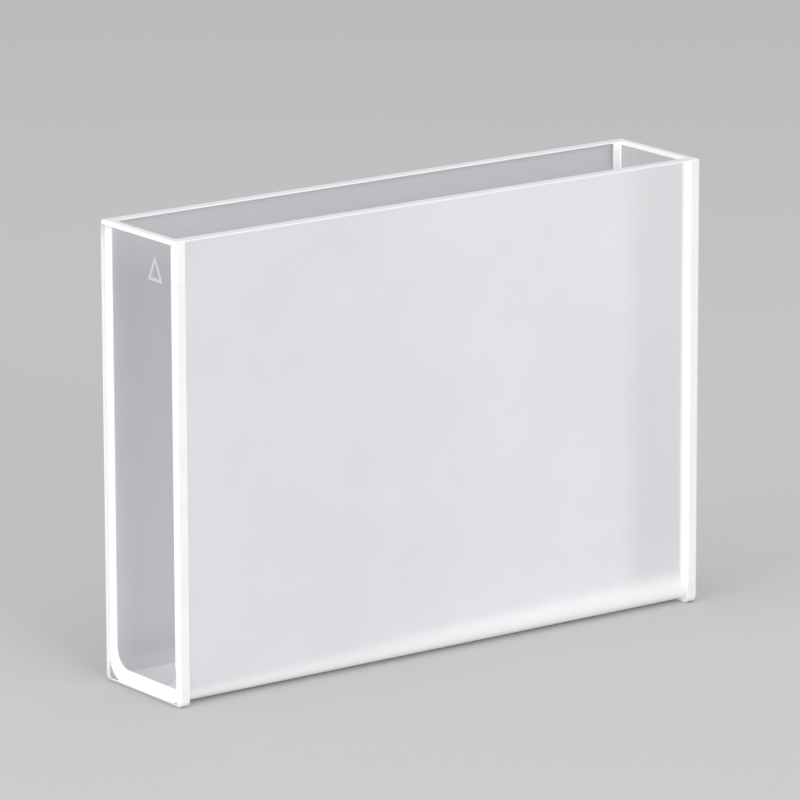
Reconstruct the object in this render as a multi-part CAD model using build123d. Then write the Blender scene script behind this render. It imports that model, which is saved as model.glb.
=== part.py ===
from build123d import *
import os

# Rectangular optical cell of fused quartz, open at the top.
# A frosted trough makes both side walls and the floor. A clear polished
# window is fused flat against each of its two ends.
#
# X runs along the light path, Y across the cell and Z up. The origin lies on
# the resting plane, under the middle of the cell. Lengths are in millimetres.

# Room for the sample
light_path = 60.0            # clear distance between the two windows
inside_width = 10.0          # clear distance between the two frosted walls
cell_height = 45.0           # from the resting plane to the rim

# Trough
wall_thickness = 1.25
floor_thickness = 1.5
inner_corner_radius = 2.0    # where a wall turns into the floor, inside
outer_corner_radius = 2.5    # the same turn, outside
rim_chamfer = 0.1            # broken edges of the ground rim

# Windows
window_thickness = 1.25
window_bevel = 0.35          # ground bevel around the outer face
window_face_corner_radius = 0.35  # lower corners left on the polished outer face
inner_rim_bevel = 0.3        # ground bevel of the rim inside, between the walls

# Sizes that follow from those above
outside_width = inside_width + 2 * wall_thickness
cavity_depth = cell_height - floor_thickness
trough_half_length = light_path / 2
window_corner_radius = window_face_corner_radius + window_bevel


# An upright rectangle that stands on its local origin, with rounded bottom
# corners and square top corners.
def round_bottomed_profile(width, height, corner_radius):
    profile = Rectangle(width, height, align=(Align.CENTER, Align.MIN))
    bottom_corners = profile.vertices().group_by(Axis.Y)[0]
    return fillet(bottom_corners, corner_radius)


# The trough is one channel. Its floor turns up into both walls on an inner
# and an outer radius, and its rim is ground flat with broken edges.
def make_frosted_trough():
    outline = round_bottomed_profile(outside_width, cell_height, outer_corner_radius)
    cavity = round_bottomed_profile(inside_width, cavity_depth, inner_corner_radius)
    section = outline - Pos(0, floor_thickness) * cavity
    rim_corners = section.vertices().group_by(Axis.Y)[-1]
    section = chamfer(rim_corners, rim_chamfer)
    return extrude(Plane.YZ * section, trough_half_length, both=True)


# A three-sided bar along Y that takes the rim's inner edge off a window,
# from one wall of the trough to the other.
def make_rim_cutter():
    section = make_face(
        Polyline(
            (trough_half_length, cell_height),
            (trough_half_length + inner_rim_bevel, cell_height),
            (trough_half_length, cell_height - inner_rim_bevel),
            close=True,
        )
    )
    return extrude(Plane.XZ * section, inside_width / 2, both=True)


# The window that the light leaves by, at the +X end. Its plate is as wide and
# as high as the trough, and its inner face lies on the trough's end face. The
# lower corners reach past the trough's rounded edges and are only a little
# rounded. The upper ones stay square, because the rim is ground in one plane.
def make_exit_window():
    outline = round_bottomed_profile(outside_width, cell_height, window_corner_radius)
    plate = extrude(Plane.YZ.offset(trough_half_length) * outline, window_thickness)
    outer_face = plate.faces().sort_by(Axis.X)[-1]
    plate = chamfer(outer_face.edges(), window_bevel)
    return plate - make_rim_cutter()


frosted_trough = make_frosted_trough()
exit_window = make_exit_window()
entrance_window = mirror(exit_window, about=Plane.YZ)

pieces = {
    "frosted_trough": frosted_trough,
    "entrance_window": entrance_window,
    "exit_window": exit_window,
}

os.makedirs("parts", exist_ok=True)
for name, piece in pieces.items():
    export_step(piece, f"parts/{name}.step")
    print(name, "volume", round(piece.volume, 2), "mm3")
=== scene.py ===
import math

import bmesh
import bpy
from mathutils import Matrix, Vector


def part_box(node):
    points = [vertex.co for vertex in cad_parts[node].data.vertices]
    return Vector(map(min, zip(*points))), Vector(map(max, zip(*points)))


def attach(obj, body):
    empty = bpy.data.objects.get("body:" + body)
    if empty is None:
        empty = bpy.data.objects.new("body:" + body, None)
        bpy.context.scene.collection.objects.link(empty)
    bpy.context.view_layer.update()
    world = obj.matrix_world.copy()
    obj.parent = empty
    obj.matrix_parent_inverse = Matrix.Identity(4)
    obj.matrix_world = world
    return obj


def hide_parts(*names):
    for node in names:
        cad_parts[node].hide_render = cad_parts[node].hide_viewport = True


# A frosted quartz cell with clear end windows, dressed for the picture.
# Lengths are in metres, and each place comes from the frame.
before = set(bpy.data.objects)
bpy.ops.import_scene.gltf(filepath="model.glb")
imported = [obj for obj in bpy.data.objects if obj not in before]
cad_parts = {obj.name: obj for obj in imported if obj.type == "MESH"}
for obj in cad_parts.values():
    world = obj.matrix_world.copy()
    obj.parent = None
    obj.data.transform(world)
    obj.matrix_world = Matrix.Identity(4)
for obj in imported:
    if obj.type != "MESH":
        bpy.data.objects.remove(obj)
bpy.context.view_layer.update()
troughLow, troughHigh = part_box("frosted_trough")
windowLow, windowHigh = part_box("exit_window")
rootBody = "root"
mm = 0.001
print("frame loaded with", ", ".join(sorted(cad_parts)))


# sizes shared by the trough, the seams and the windows

cellSizes = {
    "wall": 1.25 * mm,
    "floor": 1.5 * mm,
    "innerRadius": 2.0 * mm,
    "outerRadius": 2.5 * mm,
    "rimChamfer": 0.1 * mm,
    "cornerSteps": 24,
    "seamGap": 0.005 * mm,     # between the trough's end and the window, so neither darkens the other
    "seamAlong": 0.15 * mm,    # how far the seam's fillet runs along the wall
    "seamAcross": 0.1 * mm,    # how far it stands out from the wall
}
outsideWidth = troughHigh.y - troughLow.y
insideWidth = outsideWidth - 2 * cellSizes["wall"]
cellHeight = troughHigh.z
halfPath = troughHigh.x


# helpers for node trees

def addNode(tree, kind, place=(0, 0), **settings):
    node = tree.nodes.new(kind)
    node.location = place
    for name, value in settings.items():
        setattr(node, name, value)
    return node


def feed(tree, socket, value):
    if isinstance(value, bpy.types.NodeSocket):
        tree.links.new(value, socket)
    else:
        socket.default_value = value


def mathOf(tree, operation, a, b, place=(0, 0)):
    node = addNode(tree, "ShaderNodeMath", place, operation=operation)
    feed(tree, node.inputs[0], a)
    feed(tree, node.inputs[1], b)
    return node.outputs["Value"]


def rangeOf(tree, value, fromRange, toRange, place, curve="LINEAR"):
    ranged = addNode(tree, "ShaderNodeMapRange", place, interpolation_type=curve)
    feed(tree, ranged.inputs["Value"], value)
    for label, limit in zip(("From Min", "From Max", "To Min", "To Max"), (*fromRange, *toRange)):
        feed(tree, ranged.inputs[label], limit)
    return ranged.outputs["Result"]


def partsOf(tree, vector, place):
    split = addNode(tree, "ShaderNodeSeparateXYZ", place)
    feed(tree, split.inputs["Vector"], vector)
    return split.outputs


def emptyMaterial(name):
    material = bpy.data.materials.new(name)
    material.use_nodes = True
    material.node_tree.nodes.clear()
    return material, material.node_tree


def noiseOf(tree, coordinates, featureSize, detail, place):
    noise = addNode(tree, "ShaderNodeTexNoise", place)
    feed(tree, noise.inputs["Vector"], coordinates)
    feed(tree, noise.inputs["Scale"], 1 / featureSize)
    feed(tree, noise.inputs["Detail"], detail)
    return noise.outputs["Fac"]


def mixedTone(tree, share, a, b, place):
    mixed = addNode(tree, "ShaderNodeMix", place, data_type="RGBA")
    feed(tree, mixed.inputs["Factor"], share)
    for label, tone in (("A", a), ("B", b)):
        feed(tree, mixed.inputs[label], (*tone, 1) if isinstance(tone, tuple) else tone)
    return mixed.outputs["Result"]


def mixedShader(tree, share, a, b, place):
    mixed = addNode(tree, "ShaderNodeMixShader", place)
    for socket, value in zip(mixed.inputs, (share, a, b)):
        feed(tree, socket, value)
    return mixed.outputs["Shader"]


noiseSpan = (0.3, 0.7)     # nearly all of a noise lies between these
cloudDetail, grainDetail, wipeDetail = 3.0, 2.0, 4.0    # how finely each kind of noise is broken up
quartzIor = 1.458


# How far a point of a long wall lies towards the window that an eye sees
# behind that wall: the exit window for the front, the entrance for the back.
def alongWall(tree, parts):
    facing = mathOf(tree, "SIGN", parts["Y"], 0.0, (-1500, -900))
    return mathOf(tree, "MULTIPLY", mathOf(tree, "MULTIPLY", parts["X"], facing, (-1350, -900)), -1.0,
                  (-1200, -900))


# Painted glow: where thick glass lies behind the ground skin, the skin is
# painted whiter, as if that glass gathered light: along the floor, in a band
# that spreads towards the far window, and in a narrow strip beside that window.
def paintedGlowBand(tree, parts, along, paintedGlow):
    start = rangeOf(tree, along, (-halfPath, halfPath), paintedGlow["bandStart"], (-1050, -450))
    low = rangeOf(tree, parts["Z"], (start, paintedGlow["bandFull"]), (0.0, 1.0), (-850, -450), "SMOOTHSTEP")
    toWindow = mathOf(tree, "SUBTRACT", halfPath, along, (-1050, -700))
    side = rangeOf(tree, toWindow, paintedGlow["windowBand"], (0.0, 1.0), (-850, -700), "SMOOTHSTEP")
    return mathOf(tree, "MAXIMUM", low, side, (-650, -550))


# Painted light and shade of what would show through a ground wall: it is
# painted a little paler before the far wall and a little darker, as painted
# shade, before the far window. A faint painted halo of light lies over the
# floor and grows towards that window.
def paintedSeenThrough(tree, parts, along, tone, through):
    pale = rangeOf(tree, along, through["farWall"], (1.0, 1.0 + through["paler"]), (-850, -1000),
                   "SMOOTHSTEP")
    low = rangeOf(tree, parts["Z"], through["haloHeights"], (0.0, through["halo"]), (-1250, -1700),
                  "SMOOTHSTEP")
    growing = rangeOf(tree, along, (-halfPath, halfPath), (0.0, 1.0), (-1250, -1950))
    pale = mathOf(tree, "ADD", pale, mathOf(tree, "MULTIPLY", low, growing, (-1050, -1800)), (-850, -1750))
    dark = rangeOf(tree, along, through["farWindow"], (0.0, through["darker"]), (-850, -1250), "SMOOTHSTEP")
    deepening = rangeOf(tree, parts["Z"], (0.0, cellHeight), through["deepens"], (-850, -1500))
    dark = mathOf(tree, "MULTIPLY", dark, deepening, (-650, -1300))
    scaled = addNode(tree, "ShaderNodeVectorMath", (-450, -1000), operation="SCALE")
    feed(tree, scaled.inputs[0], tone)
    feed(tree, scaled.inputs["Scale"], mathOf(tree, "SUBTRACT", pale, dark, (-650, -1050)))
    return scaled.outputs["Vector"]


# From inside, the skin is seen through the glass and is painted greyer than
# from outside: painted shade that grows towards the rim, and darker again where
# the wall turns into the floor. The flat underside is painted bright, as
# painted light.
def paintedToneFromInside(tree, parts, inside):
    depth = rangeOf(tree, parts["Z"], inside["heights"], (0.0, 1.0), (-850, 700))
    wallTone = mixedTone(tree, depth, inside["footTone"], inside["rimTone"], (-600, 700))
    turning = rangeOf(tree, parts["Z"], inside["turnHeights"], (0.0, 1.0), (-850, 850), "SMOOTHSTEP")
    wallTone = mixedTone(tree, turning, wallTone, inside["turnTone"], (-500, 750))
    under = mathOf(tree, "LESS_THAN", parts["Z"], inside["underside"], (-850, 1000))
    return mixedTone(tree, under, wallTone, inside["brightTone"], (-400, 800))


# Painted shade: the seam is painted as grey as the floor in one lower corner
# of each window, between the inner round and the square corner.
def paintedGreyInCorner(tree, place, corner):
    parts = partsOf(tree, place, (-1100, -700))
    nearSide = mathOf(tree, "MULTIPLY", parts["X"], parts["Y"], (-850, -650))
    chosen = mathOf(tree, "GREATER_THAN", nearSide, 0.0, (-650, -650))
    fromMiddle = mathOf(tree, "ABSOLUTE", parts["Y"], 0.0, (-850, -850))
    within = mathOf(tree, "LESS_THAN", fromMiddle, corner["across"], (-650, -850))
    over = mathOf(tree, "GREATER_THAN", parts["Z"], corner["heights"][0], (-650, -1000))
    under = mathOf(tree, "LESS_THAN", parts["Z"], corner["heights"][1], (-650, -1150))
    return mathOf(tree, "MULTIPLY", mathOf(tree, "MULTIPLY", chosen, within, (-400, -700)),
                  mathOf(tree, "MULTIPLY", over, under, (-400, -1000)), (-200, -850))


# The tone of ground quartz, and the share of the light that it lets through.
# Clouds change the tone, and it is another where the skin is seen from behind,
# through the glass. Where that tone is whiter, it is partly the whiter look of
# a ground face met from inside glass and partly painted light. On the frosted
# walls the tone also carries a painted glow, painted light and shade of what
# would show through, and painted light and shade seen from inside. On the seams
# it carries painted shade in one corner.
def groundTone(tree, place, finish):
    clouds = noiseOf(tree, place, finish["cloudSize"], cloudDetail, (-1100, 200))
    cloudy = rangeOf(tree, clouds, noiseSpan, (0.0, 1.0), (-850, 250))
    tone = mixedTone(tree, cloudy, finish["deepTone"], finish["paleTone"], (-600, 250))
    passing = finish["passesLight"]
    behindTone = finish.get("behindTone", finish["paleTone"])
    if "paintedGlow" in finish:
        parts = partsOf(tree, place, (-1500, -500))
        along = alongWall(tree, parts)
        paintedGlowShare = paintedGlowBand(tree, parts, along, finish["paintedGlow"])
        # Painted light and shade of what would show through the wall.
        tone = paintedSeenThrough(tree, parts, along, tone, finish["through"])
        # Painted glow: a whiter tone in the band, standing in for light gathered in thick glass.
        tone = mixedTone(tree, paintedGlowShare, tone, finish["paintedGlow"]["tone"], (-450, 400))
        # Painted light and shade on the skin seen from behind: greyer by height, darker at the turn, bright
        # underneath.
        behindTone = paintedToneFromInside(tree, parts, finish["paintedFromInside"])
        passing = rangeOf(tree, paintedGlowShare, (0.0, 1.0), (passing, finish["paintedGlow"]["passesLight"]), (-200, 500))
    side = addNode(tree, "ShaderNodeNewGeometry", (-600, 1300))
    tone = mixedTone(tree, side.outputs["Backfacing"], tone, behindTone, (-200, 800))
    # Painted shade: grey in one lower corner of the seam.
    if "paintedGreyCorner" in finish:
        grey = paintedGreyInCorner(tree, place, finish["paintedGreyCorner"])
        tone = mixedTone(tree, grey, tone, finish["paintedGreyCorner"]["tone"], (-100, 950))
    return tone, passing


# Quartz ground with grit: a matt white skin that lets some light through. The
# grit leaves a fine grain.
def groundShader(tree, place, finish):
    tone, passing = groundTone(tree, place, finish)
    grain = noiseOf(tree, place, finish["grainSize"], grainDetail, (-1100, -200))
    relief = addNode(tree, "ShaderNodeBump", (-600, -300))
    feed(tree, relief.inputs["Height"], grain)
    feed(tree, relief.inputs["Distance"], finish["grainDepth"])
    feed(tree, relief.inputs["Strength"], 1.0)
    skin = addNode(tree, "ShaderNodeBsdfPrincipled", (-300, 200))
    feed(tree, skin.inputs["Base Color"], tone)
    feed(tree, skin.inputs["Roughness"], rangeOf(tree, grain, noiseSpan, finish["roughness"], (-850, -50)))
    feed(tree, skin.inputs["IOR"], quartzIor)
    feed(tree, skin.inputs["Normal"], relief.outputs["Normal"])
    through = addNode(tree, "ShaderNodeBsdfTranslucent", (-300, -350))
    feed(tree, through.inputs["Color"], tone)
    return mixedShader(tree, passing, skin.outputs["BSDF"], through.outputs["BSDF"], (50, 0))


# Polished quartz: clear, with the faintest wipe marks. Light that only
# passes on its way to or from a matt surface goes straight through.
def polishedShader(tree, place, finish):
    wipes = noiseOf(tree, place, finish["wipeSize"], wipeDetail, (-1000, 0))
    clear = addNode(tree, "ShaderNodeBsdfPrincipled", (-300, 200))
    feed(tree, clear.inputs["Base Color"], (*finish["tint"], 1))
    feed(tree, clear.inputs["Roughness"], rangeOf(tree, wipes, noiseSpan, finish["haze"], (-700, 0)))
    feed(tree, clear.inputs["IOR"], quartzIor)
    feed(tree, clear.inputs["Transmission Weight"], 1.0)
    straight = addNode(tree, "ShaderNodeBsdfTransparent", (-300, -250))
    feed(tree, straight.inputs["Color"], (*finish["shadowTint"], 1))
    rays = addNode(tree, "ShaderNodeLightPath", (-700, 500))
    passing = mathOf(tree, "MAXIMUM", rays.outputs["Is Shadow Ray"], rays.outputs["Is Diffuse Ray"],
                     (-300, 450))
    return mixedShader(tree, passing, clear.outputs["BSDF"], straight.outputs["BSDF"], (50, 0))


# Where the white of a fused seam spreads over the wall beside it: at the end
# of each long wall that an eye sees across the cell.
def seamSpread(tree, place, spread):
    parts = partsOf(tree, place, (-200, 900))
    along = alongWall(tree, parts)
    fromEnd = mathOf(tree, "ADD", along, halfPath, (0, 900))
    atEnd = rangeOf(tree, fromEnd, spread["reach"], (0.0, 1.0), (200, 900), "SMOOTHSTEP")
    fromMiddle = mathOf(tree, "ABSOLUTE", parts["Y"], 0.0, (0, 1100))
    onWall = mathOf(tree, "GREATER_THAN", fromMiddle, spread["wallAt"], (200, 1100))
    return mathOf(tree, "MULTIPLY", atEnd, onWall, (400, 1000))


# Where a window's lower corner is clear: met from inside the glass, and
# within a margin along which only the plate's ground edges show.
def clearCorner(tree, place, within):
    parts = partsOf(tree, place, (-200, 900))
    fromMiddle = mathOf(tree, "ABSOLUTE", parts["Y"], 0.0, (0, 1100))
    across = mathOf(tree, "LESS_THAN", fromMiddle, within["across"], (200, 1100))
    above = mathOf(tree, "GREATER_THAN", parts["Z"], within["above"], (200, 900))
    side = addNode(tree, "ShaderNodeNewGeometry", (200, 700)).outputs["Backfacing"]
    return mathOf(tree, "MULTIPLY", mathOf(tree, "MULTIPLY", across, above, (400, 1000)), side, (500, 850))


def surfaceOf(tree, place, finish):
    if "haze" in finish:
        return polishedShader(tree, place, finish)
    return groundShader(tree, place, finish)


# A material with one finish, or with two: the second shows only in its spread
# or in the clear corners.
def makeQuartz(name, outer, inner=None):
    material, tree = emptyMaterial(name)
    place = addNode(tree, "ShaderNodeTexCoord", (-1900, 0)).outputs["Object"]
    surface = surfaceOf(tree, place, outer)
    if inner:
        if "spread" in inner:
            share = seamSpread(tree, place, inner["spread"])
        else:
            share = clearCorner(tree, place, inner["within"])
        surface = mixedShader(tree, share, surface, surfaceOf(tree, place, inner), (500, 200))
    output = addNode(tree, "ShaderNodeOutputMaterial", (750, 0))
    feed(tree, output.inputs["Surface"], surface)
    return material


frostedFinish = {
    "paleTone": (0.878, 0.863, 0.882),
    "deepTone": (0.845, 0.830, 0.849),
    "cloudSize": 9 * mm,
    "grainSize": 0.09 * mm,
    "grainDepth": 0.004 * mm,
    "roughness": (0.5, 0.62),
    "passesLight": 0.45,
    # painted glow: a whiter tone standing in for light gathered in thick glass, with less light let through
    # there
    "paintedGlow": {
        "tone": (1.0, 0.985, 0.975),
        "passesLight": 0.04,
        "bandStart": (2.2 * mm, 4.5 * mm),    # height where the band starts, at its near and far end
        "bandFull": 0.7 * mm,
        "windowBand": (1.4 * mm, 0.7 * mm),   # distances from the window where it starts and is full
    },
    # painted light and shade of what would show through the wall: paler, darker, and a halo
    "through": {
        "farWall": (-18 * mm, 12 * mm),       # where along the wall it grows paler
        "farWindow": (20.5 * mm, 25 * mm),    # and darker again
        "paler": 0.075,
        "darker": 0.11,
        "deepens": (1.25, 0.85),              # times the darkening, at the foot and at the rim
        "haloHeights": (7 * mm, 1.5 * mm),
        "halo": 0.05,
    },
    # painted shade by height seen from inside, darker at the turn, and painted light on the underside
    "paintedFromInside": {
        "rimTone": (0.70, 0.69, 0.715),
        "footTone": (0.87, 0.855, 0.885),
        "heights": (5 * mm, 47 * mm),         # where each of those tones is reached
        "turnTone": (0.76, 0.745, 0.77),      # where the wall turns into the floor
        "turnHeights": (5 * mm, 2 * mm),
        "brightTone": (1.0, 0.99, 0.995),
        "underside": 0.005 * mm,              # all below this height belongs to it
    },
}
whiteGrit = {                                 # shared by the seams and what they whiten
    "cloudSize": 3.0 * mm,
    "grainSize": 0.1 * mm,
    "grainDepth": 0.001 * mm,
    "roughness": (0.45, 0.55),
    "passesLight": 0.05,
}
rimFinish = {
    "paleTone": (0.84, 0.835, 0.855),
    "deepTone": (0.81, 0.805, 0.825),
    "cloudSize": 3.0 * mm,
    "grainSize": 0.07 * mm,
    "grainDepth": 0.002 * mm,
    "roughness": (0.38, 0.5),
    "passesLight": 0.15,
}
edgeFinish = {
    "paleTone": (0.84, 0.84, 0.845),
    "deepTone": (0.80, 0.80, 0.805),
    # white from behind: partly the whiter look of a ground face met from inside glass, partly painted light
    "behindTone": (1.0, 1.0, 1.0),
    "cloudSize": 2.5 * mm,
    "grainSize": 0.07 * mm,
    "grainDepth": 0.002 * mm,
    "roughness": (0.38, 0.5),
    "passesLight": 0.08,
}
seamFinish = {
    **whiteGrit,
    "paleTone": (0.92, 0.92, 0.92),
    "deepTone": (0.89, 0.89, 0.89),
    # white from behind: partly the whiter look of a ground face met from inside glass, partly painted light
    "behindTone": (1.0, 1.0, 1.0),
    "paintedGreyCorner": {
        # painted shade, as grey as the floor, in one lower corner
        "tone": (0.60, 0.59, 0.605),
        "across": insideWidth / 2 - 0.001 * mm,    # between the walls, and not on them
        "heights": (cellSizes["floor"] + 1.05 * cellSizes["seamAcross"],    # clear of the fillet
                    cellSizes["floor"] + cellSizes["innerRadius"]),
    },
}
whitenedFinish = {
    **whiteGrit,
    "paleTone": (0.95, 0.95, 0.96),
    "deepTone": (0.92, 0.92, 0.93),
    "spread": {
        "reach": (1.0 * mm, 0.9 * mm),             # distances from the window where it ends and is full
        "wallAt": insideWidth / 2 - 0.1 * mm,
    },
}
etchedFinish = {
    "paleTone": (0.78, 0.78, 0.79),
    "deepTone": (0.72, 0.72, 0.73),
    "cloudSize": 0.5 * mm,
    "grainSize": 0.05 * mm,
    "grainDepth": 0.002 * mm,
    "roughness": (0.5, 0.6),
    "passesLight": 0.45,
}
polishedFinish = {
    "tint": (0.985, 0.988, 0.992),
    "shadowTint": (0.985, 0.987, 0.988),
    "wipeSize": 6 * mm,
    "haze": (0.0, 0.02),
}
cornerFinish = {
    **polishedFinish,
    "within": {
        "across": outsideWidth / 2 - 0.05 * mm,    # clear up to this far from the middle
        "above": 0.15 * mm,
    },
}
frostedQuartz = makeQuartz("frostedQuartz", frostedFinish)
groundRim = makeQuartz("groundRim", rimFinish)
groundEdge = makeQuartz("groundEdge", edgeFinish)
fusedSeam = makeQuartz("fusedSeam", seamFinish)
etchedQuartz = makeQuartz("etchedQuartz", etchedFinish)
polishedQuartz = makeQuartz("polishedQuartz", polishedFinish)
cavityQuartz = makeQuartz("cavityQuartz", polishedFinish, whitenedFinish)
# In the windows' lower corners, an eye on the trough's side meets only their
# ground edges, mirrored in the glass. An eye on the other side sees through.
cornerQuartz = makeQuartz("cornerQuartz", seamFinish, cornerFinish)
print("finishes made")


# Makes a tree with named inputs. Gives the tree, its input node and the
# identifier of each named input.
def newShapeTree(name, lengths, counts):
    tree = bpy.data.node_groups.new(name, "GeometryNodeTree")
    tree.interface.new_socket("Geometry", in_out="INPUT", socket_type="NodeSocketGeometry")
    tree.interface.new_socket("Geometry", in_out="OUTPUT", socket_type="NodeSocketGeometry")
    kinds = {label: "NodeSocketFloat" for label in lengths}
    kinds.update({label: "NodeSocketInt" for label in counts})
    identifiers = {}
    for label, kind in kinds.items():
        identifiers[label] = tree.interface.new_socket(label, in_out="INPUT", socket_type=kind).identifier
    return tree, addNode(tree, "NodeGroupInput", (-1800, 0)).outputs, identifiers


def runShapeTree(name, tree, identifiers, values):
    holder = bpy.data.objects.new(name + "Holder", bpy.data.meshes.new(name + "Holder"))
    bpy.context.scene.collection.objects.link(holder)
    modifier = holder.modifiers.new("shape", "NODES")
    modifier.node_group = tree
    for label, value in values.items():
        modifier[identifiers[label]] = value
    shown = holder.evaluated_get(bpy.context.evaluated_depsgraph_get())
    mesh = bpy.data.meshes.new_from_object(shown)
    bpy.data.objects.remove(holder)
    return finishedPiece(name, mesh)


creaseAngle = 25           # degrees; a sharper turn between two faces stays an edge


def finishedPiece(name, mesh):
    mesh.name = name
    for face in mesh.polygons:
        face.use_smooth = True
    mesh.set_sharp_from_angle(angle=math.radians(creaseAngle))
    piece = bpy.data.objects.new(name, mesh)
    bpy.context.scene.collection.objects.link(piece)
    return piece


def pointOf(tree, x, y, z=0.0, place=(0, 0)):
    node = addNode(tree, "ShaderNodeCombineXYZ", place)
    for label, value in zip("XYZ", (x, y, z)):
        feed(tree, node.inputs[label], value)
    return node.outputs["Vector"]


def pickByIndex(tree, kind, items, place):
    switch = addNode(tree, "GeometryNodeIndexSwitch", place, data_type=kind)
    while len(switch.index_switch_items) < len(items):
        switch.index_switch_items.new()
    index = addNode(tree, "GeometryNodeInputIndex", (place[0] - 200, place[1] + 150))
    feed(tree, switch.inputs["Index"], index.outputs["Index"])
    for number, item in enumerate(items):
        feed(tree, switch.inputs[number + 1], item)
    return switch.outputs["Output"]


# A line through the corners, each rounded on its own radius.
def roundedLine(tree, points, radii, counts, closed, left, top):
    line = addNode(tree, "GeometryNodeMeshLine", (left, top))
    feed(tree, line.inputs["Count"], len(points))
    laid = addNode(tree, "GeometryNodeSetPosition", (left + 200, top))
    feed(tree, laid.inputs["Geometry"], line.outputs["Mesh"])
    feed(tree, laid.inputs["Position"], pickByIndex(tree, "VECTOR", points, (left, top - 200)))
    curve = addNode(tree, "GeometryNodeMeshToCurve", (left + 400, top))
    feed(tree, curve.inputs["Mesh"], laid.outputs["Geometry"])
    joined = addNode(tree, "GeometryNodeSetSplineCyclic", (left + 600, top))
    feed(tree, joined.inputs["Geometry"], curve.outputs["Curve"])
    feed(tree, joined.inputs["Cyclic"], closed)
    rounded = addNode(tree, "GeometryNodeFilletCurve", (left + 800, top), mode="POLY")
    feed(tree, rounded.inputs["Curve"], joined.outputs["Geometry"])
    feed(tree, rounded.inputs["Radius"], pickByIndex(tree, "FLOAT", radii, (left + 400, top - 400)))
    feed(tree, rounded.inputs["Count"], pickByIndex(tree, "INT", counts, (left + 400, top - 800)))
    return rounded.outputs["Curve"]


def sweptAlong(tree, path, profile, place):
    swept = addNode(tree, "GeometryNodeCurveToMesh", place)
    feed(tree, swept.inputs["Curve"], path)
    feed(tree, swept.inputs["Profile Curve"], profile)
    feed(tree, swept.inputs["Fill Caps"], True)
    return swept.outputs["Mesh"]


def turnedShape(tree, shape, turn, place):
    turned = addNode(tree, "GeometryNodeTransform", place)
    feed(tree, turned.inputs["Geometry"], shape)
    feed(tree, turned.inputs["Rotation"], turn)
    return turned.outputs["Geometry"]


# Ends a tree: real geometry, then one coat of material after the other.
def finishTree(tree, shape, coats, place):
    real = addNode(tree, "GeometryNodeRealizeInstances", place)
    feed(tree, real.inputs["Geometry"], shape)
    flow = real.outputs["Geometry"]
    for number, (chosen, material) in enumerate(coats):
        coat = addNode(tree, "GeometryNodeSetMaterial", (place[0] + 200 * (number + 1), place[1]))
        feed(tree, coat.inputs["Geometry"], flow)
        feed(tree, coat.inputs["Selection"], chosen)
        coat.inputs["Material"].default_value = material
        flow = coat.outputs["Geometry"]
    output = addNode(tree, "NodeGroupOutput", (place[0] + 200 * (len(coats) + 1), place[1]))
    feed(tree, output.inputs["Geometry"], flow)


coatEdges = {
    "hair": 0.01 * mm,         # kept between a face and the border of its coat
    "facingEnd": 0.5,          # a face whose normal lies at least so far along X is at an end
}


# Which faces of the trough lie inside, on the rim and at the ends.
def troughPlaces(tree, size, inner):
    where = addNode(tree, "GeometryNodeInputPosition", (300, -100))
    where = partsOf(tree, where.outputs["Position"], (500, -100))
    facing = addNode(tree, "GeometryNodeInputNormal", (300, -400))
    facing = partsOf(tree, facing.outputs["Normal"], (500, -400))
    across = mathOf(tree, "ABSOLUTE", where["Y"], 0.0, (700, -50))
    wallStart = mathOf(tree, "ADD", inner, coatEdges["hair"], (700, 100))
    between = mathOf(tree, "LESS_THAN", across, wallStart, (900, -50))
    overFloor = mathOf(tree, "SUBTRACT", size["Floor"], coatEdges["hair"], (700, -200))
    aboveFloor = mathOf(tree, "GREATER_THAN", where["Z"], overFloor, (900, -200))
    isInside = mathOf(tree, "MULTIPLY", between, aboveFloor, (1100, -100))
    rimStart = mathOf(tree, "SUBTRACT", size["Height"], size["Rim chamfer"], (700, -350))
    isRim = mathOf(tree, "GREATER_THAN", where["Z"], rimStart, (900, -350))
    endFacing = mathOf(tree, "ABSOLUTE", facing["X"], 0.0, (700, -500))
    isEnd = mathOf(tree, "GREATER_THAN", endFacing, coatEdges["facingEnd"], (900, -500))
    return isInside, isRim, isEnd


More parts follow.
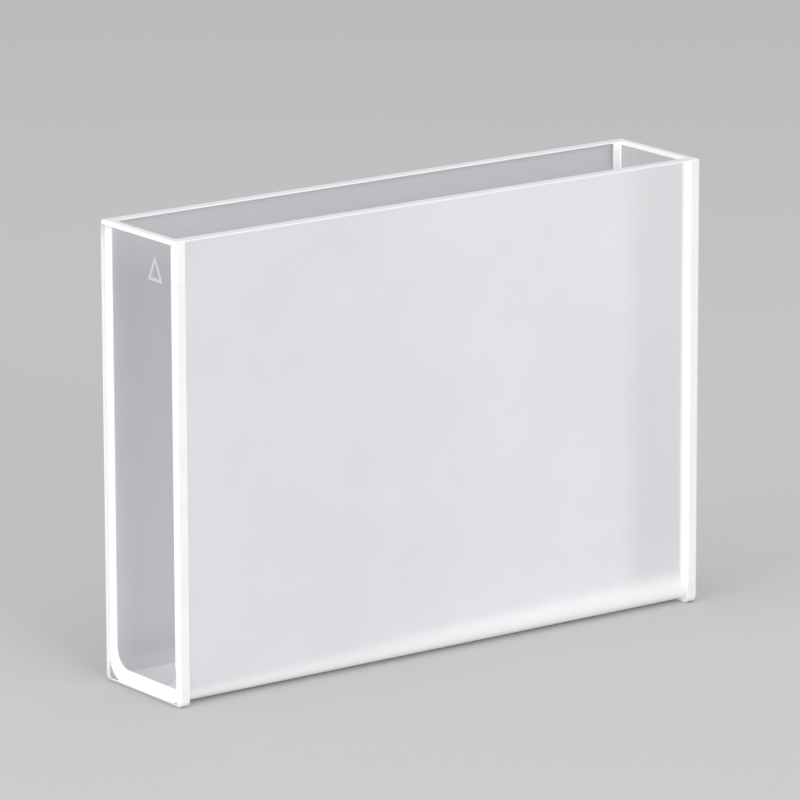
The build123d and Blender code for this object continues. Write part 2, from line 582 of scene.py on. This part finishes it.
# The trough: a U section with round corners, swept along the light path.
def makeTroughTree():
    lengths = ("Width", "Height", "Half length", "Wall", "Floor", "Inner radius", "Outer radius",
               "Rim chamfer")
    tree, size, identifiers = newShapeTree("troughSweep", lengths, ("Corner steps",))
    outer = mathOf(tree, "MULTIPLY", size["Width"], 0.5, (-1500, 400))
    outerMinus = mathOf(tree, "MULTIPLY", size["Width"], -0.5, (-1500, 300))
    inner = mathOf(tree, "SUBTRACT", outer, size["Wall"], (-1300, 400))
    innerMinus = mathOf(tree, "MULTIPLY", inner, -1.0, (-1300, 300))
    corners = [
        (outerMinus, 0.0), (outer, 0.0), (outer, size["Height"]), (inner, size["Height"]),
        (inner, size["Floor"]), (innerMinus, size["Floor"]),
        (innerMinus, size["Height"]), (outerMinus, size["Height"]),
    ]
    points = [pointOf(tree, y, z, place=(-1100, 600 - 120 * n)) for n, (y, z) in enumerate(corners)]
    chamfer, steps = size["Rim chamfer"], size["Corner steps"]
    radii = [size["Outer radius"]] * 2 + [chamfer] * 2 + [size["Inner radius"]] * 2 + [chamfer] * 2
    counts = [steps] * 2 + [1] * 2 + [steps] * 2 + [1] * 2
    section = roundedLine(tree, points, radii, counts, True, -900, 600)
    backwards = mathOf(tree, "MULTIPLY", size["Half length"], -1.0, (-300, -400))
    path = addNode(tree, "GeometryNodeCurvePrimitiveLine", (100, 300))
    feed(tree, path.inputs["Start"], pointOf(tree, backwards, 0.0, place=(-100, 200)))
    feed(tree, path.inputs["End"], pointOf(tree, size["Half length"], 0.0, place=(-100, 50)))
    swept = sweptAlong(tree, path.outputs["Curve"], section, (300, 600))
    upright = turnedShape(tree, swept, (math.pi, 0, 0), (500, 600))
    isInside, isRim, isEnd = troughPlaces(tree, size, inner)
    coats = [(True, frostedQuartz), (isInside, cavityQuartz), (isRim, groundRim), (isEnd, fusedSeam)]
    finishTree(tree, upright, coats, (1300, 600))
    return tree, identifiers


troughTree, troughInputs = makeTroughTree()
trough = runShapeTree("trough", troughTree, troughInputs, {
    "Width": outsideWidth,
    "Height": cellHeight,
    "Half length": halfPath - cellSizes["seamGap"],
    "Wall": cellSizes["wall"],
    "Floor": cellSizes["floor"],
    "Inner radius": cellSizes["innerRadius"],
    "Outer radius": cellSizes["outerRadius"],
    "Rim chamfer": cellSizes["rimChamfer"],
    "Corner steps": cellSizes["cornerSteps"],
})
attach(trough, rootBody)
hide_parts("frosted_trough")
print("trough made,", len(trough.data.polygons), "faces")


# The seams: where a window was fused on, a slim fillet of quartz runs down
# one wall, over the floor and up the other.

seamSizes = {
    "bite": 0.01 * mm,         # how far it sinks into the wall and the window
    "hollow": 0.35,            # share of each leg that is left in the middle of its face
    "belowRim": 0.05 * mm,
}


def makeSeamTree():
    lengths = ("Width", "Top", "Floor", "Corner radius", "Half length", "Along", "Across", "Bite", "Hollow")
    tree, size, identifiers = newShapeTree("seamSweep", lengths, ("Corner steps",))
    side = mathOf(tree, "MULTIPLY", size["Width"], 0.5, (-1500, 400))
    otherSide = mathOf(tree, "MULTIPLY", size["Width"], -0.5, (-1500, 300))
    corners = [(side, size["Top"]), (side, size["Floor"]), (otherSide, size["Floor"]),
               (otherSide, size["Top"])]
    points = [pointOf(tree, size["Half length"], y, z, (-1100, 600 - 120 * n))
              for n, (y, z) in enumerate(corners)]
    turns, steps = size["Corner radius"], size["Corner steps"]
    path = roundedLine(tree, points, [0.0, turns, turns, 0.0], [1, steps, steps, 1], False, -900, 600)
    facing = addNode(tree, "GeometryNodeSetCurveNormal", (100, 600), mode="FREE")
    feed(tree, facing.inputs["Curve"], path)
    feed(tree, facing.inputs["Normal"], (1, 0, 0))
    # the section: X towards the window, Y away from the wall
    bite, across = size["Bite"], size["Across"]
    biteBack = mathOf(tree, "MULTIPLY", bite, -1.0, (-1500, -600))
    back = mathOf(tree, "MULTIPLY", size["Along"], -1.0, (-1500, -500))
    middleBack = mathOf(tree, "MULTIPLY", back, size["Hollow"], (-1300, -500))
    middleAcross = mathOf(tree, "MULTIPLY", across, size["Hollow"], (-1300, -600))
    outline = [(bite, biteBack), (back, biteBack), (back, 0.0), (middleBack, middleAcross), (0.0, across),
               (bite, across)]
    sectionPoints = [pointOf(tree, x, y, place=(-1100, -700 - 120 * n)) for n, (x, y) in enumerate(outline)]
    sharp = [0.0] * len(outline)
    section = roundedLine(tree, sectionPoints, sharp, [1] * len(outline), True, -900, -900)
    exitSeam = sweptAlong(tree, facing.outputs["Curve"], section, (300, 600))
    entranceSeam = turnedShape(tree, exitSeam, (0, 0, math.pi), (500, 400))
    both = addNode(tree, "GeometryNodeJoinGeometry", (700, 600))
    tree.links.new(exitSeam, both.inputs["Geometry"])
    tree.links.new(entranceSeam, both.inputs["Geometry"])
    finishTree(tree, both.outputs["Geometry"], [(True, fusedSeam)], (900, 600))
    return tree, identifiers


seamTree, seamInputs = makeSeamTree()
seams = runShapeTree("fusedSeams", seamTree, seamInputs, {
    "Width": insideWidth,
    "Top": cellHeight - seamSizes["belowRim"],
    "Floor": cellSizes["floor"],
    "Corner radius": cellSizes["innerRadius"],
    "Half length": halfPath,
    "Along": cellSizes["seamAlong"],
    "Across": cellSizes["seamAcross"],
    "Bite": seamSizes["bite"],
    "Hollow": seamSizes["hollow"],
    "Corner steps": cellSizes["cornerSteps"],
})
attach(seams, rootBody)
print("seams made,", len(seams.data.polygons), "faces")


# The windows: flat plates with a ground bevel round the outer face. The
# part of the inner face that is fused to the trough is a face of its own.

windowSizes = {
    "bevel": 0.35 * mm,
    "lowerCornerRadius": 0.7 * mm,
    "upperCornerRadius": 0.15 * mm,
    "upperRoundLeft": 0.2,     # share of that radius which is left where the bevel meets the outer face
    "innerRimBevel": 0.3 * mm,
    "cornerSteps": 8,
}
# A plain triangle etched on the entrance window tells its two ends apart.
markSizes = {
    "across": -3.13 * mm,      # its middle on the outer face
    "up": 42.0 * mm,
    "width": 2.4 * mm,
    "height": 2.5 * mm,
    "line": 0.3 * mm,
}


def arcPoints(centre, radius, start, end, steps):
    points = []
    for n in range(steps + 1):
        angle = math.radians(start + (end - start) * n / steps)
        points.append((centre[0] + radius * math.cos(angle), centre[1] + radius * math.sin(angle)))
    return points


# The plate's outline, drawn in by some amount, in runs between the places
# where the trough's section meets it. The upper corners grow sharper as it is
# drawn in.
def plateRuns(inset):
    half = outsideWidth / 2 - inset
    top, bottom = cellHeight - inset, inset
    lower = windowSizes["lowerCornerRadius"] - inset
    lost = (1 - windowSizes["upperRoundLeft"]) * inset / windowSizes["bevel"]
    upper = windowSizes["upperCornerRadius"] * (1 - lost)
    steps = windowSizes["cornerSteps"]
    meetWall = insideWidth / 2
    meetSide = cellSizes["outerRadius"]
    meetBottom = outsideWidth / 2 - cellSizes["outerRadius"]
    topLeft = arcPoints((-half + upper, top - upper), upper, 90, 180, steps)
    bottomLeft = arcPoints((-half + lower, bottom + lower), lower, 180, 270, steps)
    bottomRight = arcPoints((half - lower, bottom + lower), lower, 270, 360, steps)
    topRight = arcPoints((half - upper, top - upper), upper, 0, 90, steps)
    return [
        [(-meetWall, top), *topLeft, (-half, meetSide)],
        [*bottomLeft, (-meetBottom, bottom)],
        [(meetBottom, bottom)],
        [*bottomRight, (half, meetSide)],
        [*topRight, (meetWall, top)],
    ]


# The two outlines of the etched triangle. The inner one is drawn in towards
# the middle of the circle that fits the triangle, by the width of the line.
def markLoops():
    half, height = markSizes["width"] / 2, markSizes["height"]
    base = markSizes["up"] - height / 2
    slant = math.hypot(half, height)
    inRadius = half * height / (half + slant)
    centre = Vector((markSizes["across"], base + inRadius))
    outer = [Vector((markSizes["across"] + y, base + z)) for y, z in ((-half, 0), (half, 0), (0, height))]
    inner = [centre + (point - centre) * (1 - markSizes["line"] / inRadius) for point in outer]
    return [[tuple(point) for point in loop] for loop in (outer, inner)]


cornerGrid = 1e8           # steps to the metre; corners that round to the same step are one


# A window under construction. Corners are given along the light path, as on
# the exit window, across and up. The side, 1 or -1, puts them at either end.
class PlateShape:
    def __init__(self, side):
        self.mesh = bmesh.new()
        self.side = side
        self.made = {}

    def corner(self, x, y, z):
        key = tuple(round(value * cornerGrid) for value in (x, y, z))
        if key not in self.made:
            self.made[key] = self.mesh.verts.new((x * self.side, y, z))
        return self.made[key]

    def addFace(self, points, slot):
        face = self.mesh.faces.new([self.corner(*p) for p in points])
        face.material_index = slot

    # fills a flat region whose border is one outline, or an outline and a hole
    def fillFlat(self, x, loops, slot):
        edges = []
        for loop in loops:
            corners = [self.corner(x, y, z) for y, z in loop]
            for a, b in zip(corners, corners[1:] + corners[:1]):
                edges.append(self.mesh.edges.get((a, b)) or self.mesh.edges.new((a, b)))
        filled = bmesh.ops.triangle_fill(self.mesh, use_beauty=True, edges=edges, normal=(1, 0, 0))
        for part in filled["geom"]:
            if isinstance(part, bmesh.types.BMFace):
                part.material_index = slot


clearSlot, groundSlot, fusedSlot, etchedSlot, cornerSlot = range(5)
plateMaterials = (polishedQuartz, groundEdge, fusedSeam, etchedQuartz, cornerQuartz)


# the ground edge all round, then the bevel up to the outer face
def addPlateEdges(plate, inside, outside):
    bevel, rimBevel = windowSizes["bevel"], windowSizes["innerRimBevel"]
    shoulder = outside - bevel
    back = [p for run in plateRuns(0) for p in run]
    front = [p for run in plateRuns(bevel) for p in run]
    last = len(back) - 1
    for n in range(len(back)):
        after = (n + 1) % len(back)
        start = inside + rimBevel if n == last else inside
        quad = [(start, *back[n]), (start, *back[after]), (shoulder, *back[after]), (shoulder, *back[n])]
        if n == 0:
            quad.insert(0, (inside + rimBevel, *back[n]))
        if n == last - 1:
            quad.insert(2, (inside + rimBevel, *back[after]))
        plate.addFace(quad, groundSlot)
        plate.addFace([(shoulder, *back[n]), (shoulder, *back[after]),
                       (outside, *front[after]), (outside, *front[n])], groundSlot)
    return front


# The inner face in its parts: the U that is fused to the trough, the clear
# pane between its legs, the corners outside its rounds, and the ground bevel
# of the rim.
def addPlateBack(plate, inside):
    rimBevel, steps = windowSizes["innerRimBevel"], cellSizes["cornerSteps"]
    inner, outerRadius = insideWidth / 2, cellSizes["outerRadius"]
    innerRadius, floor = cellSizes["innerRadius"], cellSizes["floor"]
    rimLow = cellHeight - rimBevel
    roundAt = outsideWidth / 2 - outerRadius
    leftArc = arcPoints((-roundAt, outerRadius), outerRadius, 180, 270, steps)
    rightArc = arcPoints((roundAt, outerRadius), outerRadius, 270, 360, steps)
    pane = [(inner, rimLow)]
    pane += arcPoints((inner - innerRadius, floor + innerRadius), innerRadius, 0, -90, steps)
    pane += arcPoints((innerRadius - inner, floor + innerRadius), innerRadius, -90, -180, steps)
    pane += [(-inner, rimLow)]
    runs = plateRuns(0)
    fused = [*runs[0], *leftArc[1:-1], runs[1][-1], *runs[2], *rightArc[1:-1], runs[3][-1], *runs[4], *pane]
    leftCorner = [runs[0][-1], *runs[1], *leftArc[-2:0:-1]]
    rightCorner = [runs[2][0], *runs[3], *rightArc[-2:0:-1]]
    for region, slot in ((fused, fusedSlot), (pane, clearSlot), (leftCorner, cornerSlot),
                         (rightCorner, cornerSlot)):
        plate.addFace([(inside, y, z) for y, z in region], slot)
    rimSlope = [(inside, -inner, rimLow), (inside, inner, rimLow),
                (inside + rimBevel, inner, cellHeight), (inside + rimBevel, -inner, cellHeight)]
    plate.addFace(rimSlope, groundSlot)
    for y in (-inner, inner):
        plate.addFace([(inside, y, rimLow), (inside, y, cellHeight), (inside + rimBevel, y, cellHeight)],
                      groundSlot)


def makeWindow(name, node, side, marked):
    inside, outside = windowLow.x, windowHigh.x
    plate = PlateShape(side)
    front = addPlateEdges(plate, inside, outside)
    addPlateBack(plate, inside)
    if marked:
        outer, inner = markLoops()
        plate.fillFlat(outside, [front, outer], clearSlot)
        plate.fillFlat(outside, [outer, inner], etchedSlot)
        plate.fillFlat(outside, [inner], clearSlot)
    else:
        plate.addFace([(outside, y, z) for y, z in front], clearSlot)
    bmesh.ops.recalc_face_normals(plate.mesh, faces=plate.mesh.faces[:])
    mesh = bpy.data.meshes.new(name)
    plate.mesh.to_mesh(mesh)
    plate.mesh.free()
    for material in plateMaterials:
        mesh.materials.append(material)
    window = finishedPiece(name, mesh)
    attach(window, rootBody)
    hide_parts(node)
    return window


entranceWindow = makeWindow("entranceWindow", "entrance_window", -1, True)
exitWindow = makeWindow("exitWindow", "exit_window", 1, False)
print("windows made,", len(entranceWindow.data.polygons), "and", len(exitWindow.data.polygons), "faces")


# Floor and light

stageLook = {
    "floorSize": 6.0,
    "floorDrop": 0.02 * mm,       # a hair under the cell, so the two faces don't mix
    "floorTone": (0.54, 0.54, 0.545),
    "floorRoughness": 0.9,
    "floorShine": 0.0,            # matt, so that no lamp glares in it from any side
    "backgroundTone": (0.50, 0.50, 0.505),
    "skyLight": (0.72, 0.72, 0.725),
}


def makeFloor():
    half, level = stageLook["floorSize"] / 2, -stageLook["floorDrop"]
    mesh = bpy.data.meshes.new("floor")
    corners = [(-half, -half, level), (half, -half, level), (half, half, level), (-half, half, level)]
    mesh.from_pydata(corners, [], [(0, 1, 2, 3)])
    floor = bpy.data.objects.new("floor", mesh)
    bpy.context.scene.collection.objects.link(floor)
    material, tree = emptyMaterial("paleFloor")
    matt = addNode(tree, "ShaderNodeBsdfPrincipled", (-300, 0))
    feed(tree, matt.inputs["Base Color"], (*stageLook["floorTone"], 1))
    feed(tree, matt.inputs["Roughness"], stageLook["floorRoughness"])
    feed(tree, matt.inputs["Specular IOR Level"], stageLook["floorShine"])
    output = addNode(tree, "ShaderNodeOutputMaterial", (0, 0))
    feed(tree, output.inputs["Surface"], matt.outputs["BSDF"])
    mesh.materials.append(material)


def makeWorld():
    world = bpy.data.worlds.new("studio")
    bpy.context.scene.world = world
    world.use_nodes = True
    tree = world.node_tree
    tree.nodes.clear()
    rays = addNode(tree, "ShaderNodeLightPath", (-900, 200))
    seen = rays.outputs["Is Camera Ray"]
    for n, kind in enumerate(("Is Glossy Ray", "Is Transmission Ray")):
        seen = mathOf(tree, "MAXIMUM", seen, rays.outputs[kind], (-650 + 180 * n, 200))
    light = addNode(tree, "ShaderNodeBackground", (-250, 0))
    feed(tree, light.inputs["Color"], (*stageLook["skyLight"], 1))
    backdrop = addNode(tree, "ShaderNodeBackground", (-250, -150))
    feed(tree, backdrop.inputs["Color"], (*stageLook["backgroundTone"], 1))
    both = mixedShader(tree, seen, light.outputs["Background"], backdrop.outputs["Background"], (0, 0))
    output = addNode(tree, "ShaderNodeOutputWorld", (200, 0))
    feed(tree, output.inputs["Surface"], both)


lamps = {
    "overheadSoftbox": {"place": (-0.05, -0.10, 0.75), "size": 0.6, "power": 1.1},
    "frontSoftbox": {"place": (-0.08, -0.78, 0.22), "size": 0.4, "power": 2.9},
    "leftSoftbox": {"place": (-0.78, -0.10, 0.22), "size": 0.4, "power": 3.0},
}


def makeLamp(name, lamp, target):
    data = bpy.data.lights.new(name, "AREA")
    data.energy = lamp["power"]
    data.size = lamp["size"]
    holder = bpy.data.objects.new(name, data)
    holder.location = lamp["place"]
    holder.rotation_mode = "QUATERNION"
    holder.rotation_quaternion = (target - holder.location).to_track_quat("-Z", "Y")
    bpy.context.scene.collection.objects.link(holder)


cellMiddle = Vector((0, 0, cellHeight / 2))
makeFloor()
makeWorld()
for lampName, lamp in lamps.items():
    makeLamp(lampName, lamp, cellMiddle)
print("floor and lamps made")


# The camera stands where the photograph was taken from.

cameraView = {
    "azimuth": 36.172,        # degrees that the line of sight turns from +Y to +X
    "elevation": 14.009,      # degrees that it looks down
    "roll": -0.174,
    "distance": 636.5 * mm,
    "middleRight": 0.676 * mm,   # how far right of the picture's centre the middle of the cell lies
    "middleUp": -1.549 * mm,
    "lens": 296.36,
    "sensor": 36.0,
    "nearest": 0.01,          # what lies nearer or farther than these isn't drawn
    "farthest": 20.0,
}


def makeCamera():
    azimuth = math.radians(cameraView["azimuth"])
    elevation = math.radians(cameraView["elevation"])
    roll = math.radians(cameraView["roll"])
    sight = Vector((math.sin(azimuth) * math.cos(elevation),
                    math.cos(azimuth) * math.cos(elevation), -math.sin(elevation)))
    level = Vector((math.cos(azimuth), -math.sin(azimuth), 0))
    rising = level.cross(sight)
    right = level * math.cos(roll) + rising * math.sin(roll)
    up = rising * math.cos(roll) - level * math.sin(roll)
    data = bpy.data.cameras.new("photoCamera")
    data.lens = cameraView["lens"]
    data.sensor_width = cameraView["sensor"]
    data.clip_start = cameraView["nearest"]
    data.clip_end = cameraView["farthest"]
    camera = bpy.data.objects.new("photoCamera", data)
    turn = Matrix((right, up, -sight)).transposed().to_4x4()
    place = (cellMiddle - right * cameraView["middleRight"] - up * cameraView["middleUp"]
             - sight * cameraView["distance"])
    camera.matrix_world = Matrix.Translation(place) @ turn
    bpy.context.scene.collection.objects.link(camera)
    bpy.context.scene.camera = camera


makeCamera()
bpy.context.scene.view_settings.view_transform = "Standard"
bpy.context.view_layer.update()
